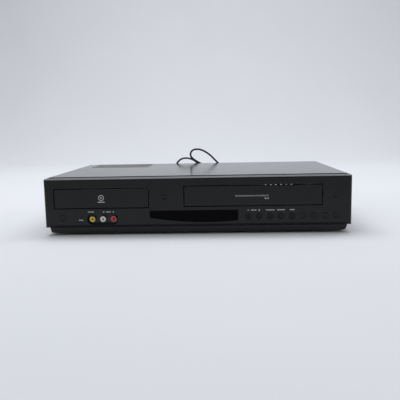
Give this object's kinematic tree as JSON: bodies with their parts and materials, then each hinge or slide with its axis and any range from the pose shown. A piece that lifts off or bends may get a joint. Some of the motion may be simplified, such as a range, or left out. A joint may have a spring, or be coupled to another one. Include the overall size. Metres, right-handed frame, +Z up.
{
  "type": "disc and tape player",
  "caption": "Full-width black player with a disc tray on the left and a cassette slot on the right, working trays, carrier, drum, reels and push buttons.",
  "frame": {"origin": "on the table under the centre of the player's own box, aerial connectors and buttons included, mains lead left out", "axes": "+X to the right seen from the front, the front faces -Y, +Z up"},
  "size_m": [0.43, 0.3336, 0.1093],
  "materials": {
    "painted_steel": "satin black paint",
    "black_abs": "moulded, fine satin texture",
    "dark_acrylic": "polished",
    "zinc_steel": "zinc plated",
    "rubber": "matt",
    "black_screw": "black oxide",
    "circuit_board": "solder mask",
    "tube_glass": "polished",
    "black_moulding": "moulded",
    "nickel": "nickel plated",
    "tinned_steel": "tinned",
    "soft_black": "moulded vinyl",
    "machined_aluminium": "turned",
    "white_acetal": "moulded"
  },
  "bodies": {
    "case": {"top_cover": "painted_steel", "front_panel": "black_abs", "display_window": "dark_acrylic", "chassis": "zinc_steel", "rear_panel": "painted_steel", "feet": "rubber", "case_screws": "black_screw", "front_board": "circuit_board", "display_tube": "tube_glass", "front_jack_block": "black_moulding", "front_jacks": "nickel", "main_board": "circuit_board", "power_board": "circuit_board", "tuner": "tinned_steel", "rear_jacks": "nickel", "cord_gland": "soft_black", "loader_frame": "black_moulding", "clamper_bridge": "zinc_steel", "loader_motor": "tinned_steel", "tray_belt": "rubber", "deck_chassis": "zinc_steel", "lower_drum": "machined_aluminium", "tape_heads": "tinned_steel", "carrier_guides": "zinc_steel", "mains_lead": "soft_black", "lead_coil": "soft_black", "mains_plug": "soft_black"},
    "disc_tray": {"disc_tray": "black_moulding", "tray_door": "black_abs"},
    "tray_gear": {"tray_gear": "white_acetal"},
    "pulley_gear": {"pulley_gear": "white_acetal"},
    "motor_pulley": {"motor_pulley": "white_acetal"},
    "traverse": {"traverse": "zinc_steel", "spindle_motor": "tinned_steel"},
    "turntable": {"turntable": "black_moulding"},
    "pickup": {"pickup": "black_moulding"},
    "clamper": {"clamper": "white_acetal"},
    "cassette_door": {"cassette_door": "black_abs"},
    "carrier_sliders": {"carrier_sliders": "zinc_steel"},
    "cassette_carrier": {"cassette_carrier": "zinc_steel"},
    "head_drum": {"head_drum": "machined_aluminium"},
    "capstan": {"capstan": "tinned_steel"},
    "pinch_arm": {"pinch_arm": "zinc_steel"},
    "pinch_roller": {"pinch_roller": "rubber"},
    "supply_reel": {"supply_reel": "black_moulding"},
    "take_up_reel": {"take_up_reel": "black_moulding"},
    "left_guide_carriage": {"left_guide_carriage": "white_acetal"},
    "right_guide_carriage": {"right_guide_carriage": "white_acetal"},
    "channel_down_button": {"channel_down_button": "black_abs"},
    "channel_up_button": {"channel_up_button": "black_abs"},
    "source_button": {"source_button": "black_abs"},
    "copy_button": {"copy_button": "black_abs"},
    "record_button": {"record_button": "black_abs"},
    "rewind_button": {"rewind_button": "black_abs"},
    "stop_button": {"stop_button": "black_abs"},
    "play_button": {"play_button": "black_abs"},
    "forward_button": {"forward_button": "black_abs"},
    "power_button": {"power_button": "black_abs"},
    "disc_open_button": {"disc_open_button": "black_abs"},
    "cassette_eject_button": {"cassette_eject_button": "black_abs"}
  },
  "joints": [
    {"name": "tray_slide", "type": "slide", "parent": "case", "child": "disc_tray", "axis": [0, -1, 0], "range_m": [0, 0.13]},
    {"name": "tray_gear_spin", "type": "hinge", "parent": "case", "child": "tray_gear", "pos_m": [-0.17575, -0.10065, 0.043], "axis": [0, 0, 1], "range_deg": [0, 622]},
    {"name": "pulley_gear_spin", "type": "hinge", "parent": "case", "child": "pulley_gear", "pos_m": [-0.15655, -0.10065, 0.04], "axis": [0, 0, 1], "range_deg": [-1037, 0]},
    {"name": "motor_pulley_spin", "type": "hinge", "parent": "case", "child": "motor_pulley", "pos_m": [-0.11975, -0.10065, 0.038], "axis": [0, 0, 1], "range_deg": [-3670, 0]},
    {"name": "traverse_lift", "type": "hinge", "parent": "case", "child": "traverse", "pos_m": [-0.13375, 0.04535, 0.0428], "axis": [-1, 0, 0], "range_deg": [0, 3.12]},
    {"name": "turntable_spin", "type": "hinge", "parent": "traverse", "child": "turntable", "pos_m": [-0.13375, -0.06477, 0.04199], "axis": [0, -0.0545, 0.9985], "continuous": true},
    {"name": "pickup_slide", "type": "slide", "parent": "traverse", "child": "pickup", "axis": [0, 0.9985, 0.0545], "range_m": [0, 0.032]},
    {"name": "clamper_spin", "type": "hinge", "parent": "case", "child": "clamper", "pos_m": [-0.13375, -0.06465, 0.055], "axis": [0, 0, 1], "continuous": true},
    {"name": "cassette_door_hinge", "type": "hinge", "parent": "case", "child": "cassette_door", "pos_m": [0.0784, -0.13505, 0.067], "axis": [1, 0, 0], "range_deg": [0, 88], "stiffness_Nm_per_rad": 0.006, "springref_deg": -17.19},
    {"name": "channel_down_press", "type": "slide", "parent": "case", "child": "channel_down_button", "axis": [0, 1, 0], "range_m": [0, 0.0008], "stiffness_N_per_m": 500, "springref_m": -0.0004},
    {"name": "channel_up_press", "type": "slide", "parent": "case", "child": "channel_up_button", "axis": [0, 1, 0], "range_m": [0, 0.0008], "stiffness_N_per_m": 500, "springref_m": -0.0004},
    {"name": "source_press", "type": "slide", "parent": "case", "child": "source_button", "axis": [0, 1, 0], "range_m": [0, 0.0008], "stiffness_N_per_m": 500, "springref_m": -0.0004},
    {"name": "copy_press", "type": "slide", "parent": "case", "child": "copy_button", "axis": [0, 1, 0], "range_m": [0, 0.0008], "stiffness_N_per_m": 500, "springref_m": -0.0004},
    {"name": "record_press", "type": "slide", "parent": "case", "child": "record_button", "axis": [0, 1, 0], "range_m": [0, 0.0008], "stiffness_N_per_m": 500, "springref_m": -0.0004},
    {"name": "rewind_press", "type": "slide", "parent": "case", "child": "rewind_button", "axis": [0, 1, 0], "range_m": [0, 0.0008], "stiffness_N_per_m": 500, "springref_m": -0.0004},
    {"name": "stop_press", "type": "slide", "parent": "case", "child": "stop_button", "axis": [0, 1, 0], "range_m": [0, 0.0008], "stiffness_N_per_m": 500, "springref_m": -0.0004},
    {"name": "play_press", "type": "slide", "parent": "case", "child": "play_button", "axis": [0, 1, 0], "range_m": [0, 0.0008], "stiffness_N_per_m": 500, "springref_m": -0.0004},
    {"name": "forward_press", "type": "slide", "parent": "case", "child": "forward_button", "axis": [0, 1, 0], "range_m": [0, 0.0008], "stiffness_N_per_m": 500, "springref_m": -0.0004},
    {"name": "power_press", "type": "slide", "parent": "case", "child": "power_button", "axis": [0, 1, 0], "range_m": [0, 0.0008], "stiffness_N_per_m": 500, "springref_m": -0.0004},
    {"name": "disc_open_press", "type": "slide", "parent": "case", "child": "disc_open_button", "axis": [0, 1, 0], "range_m": [0, 0.0008], "stiffness_N_per_m": 500, "springref_m": -0.0004},
    {"name": "cassette_eject_press", "type": "slide", "parent": "case", "child": "cassette_eject_button", "axis": [0, 1, 0], "range_m": [0, 0.0008], "stiffness_N_per_m": 500, "springref_m": -0.0004},
    {"name": "carrier_in", "type": "slide", "parent": "case", "child": "carrier_sliders", "axis": [0, 1, 0], "range_m": [0, 0.052]},
    {"name": "carrier_down", "type": "slide", "parent": "carrier_sliders", "child": "cassette_carrier", "axis": [0, 0, -1], "range_m": [0, 0.017]},
    {"name": "head_drum_spin", "type": "hinge", "parent": "case", "child": "head_drum", "pos_m": [0.0784, 0.07535, 0.0275], "axis": [0, 0.0872, 0.9962], "continuous": true},
    {"name": "capstan_spin", "type": "hinge", "parent": "case", "child": "capstan", "pos_m": [0.1324, 0.05335, 0.02], "axis": [0, 0, 1], "continuous": true},
    {"name": "pinch_arm_swing", "type": "hinge", "parent": "case", "child": "pinch_arm", "pos_m": [0.1544, 0.04735, 0.0245], "axis": [0, 0, 1], "range_deg": [-30, 0]},
    {"name": "pinch_roller_spin", "type": "hinge", "parent": "pinch_arm", "child": "pinch_roller", "pos_m": [0.13559, 0.03445, 0.037], "axis": [0, 0, 1], "continuous": true},
    {"name": "supply_reel_spin", "type": "hinge", "parent": "case", "child": "supply_reel", "pos_m": [0.0324, -0.00865, 0.0235], "axis": [0, 0, 1], "continuous": true},
    {"name": "take_up_reel_spin", "type": "hinge", "parent": "case", "child": "take_up_reel", "pos_m": [0.1244, -0.00865, 0.0235], "axis": [0, 0, 1], "continuous": true},
    {"name": "left_carriage_slide", "type": "slide", "parent": "case", "child": "left_guide_carriage", "axis": [-0.335, 0.9422, 0], "range_m": [0, 0.04776]},
    {"name": "right_carriage_slide", "type": "slide", "parent": "case", "child": "right_guide_carriage", "axis": [0.335, 0.9422, 0], "range_m": [0, 0.04776]}
  ],
  "couplings": [
    {"joint": "tray_gear_spin", "follows": "tray_slide", "rad_per_m": 83.333},
    {"joint": "pulley_gear_spin", "follows": "tray_slide", "rad_per_m": -138.89},
    {"joint": "motor_pulley_spin", "follows": "tray_slide", "rad_per_m": -491},
    {"joint": "right_carriage_slide", "follows": "left_carriage_slide", "ratio": 1}
  ]
}
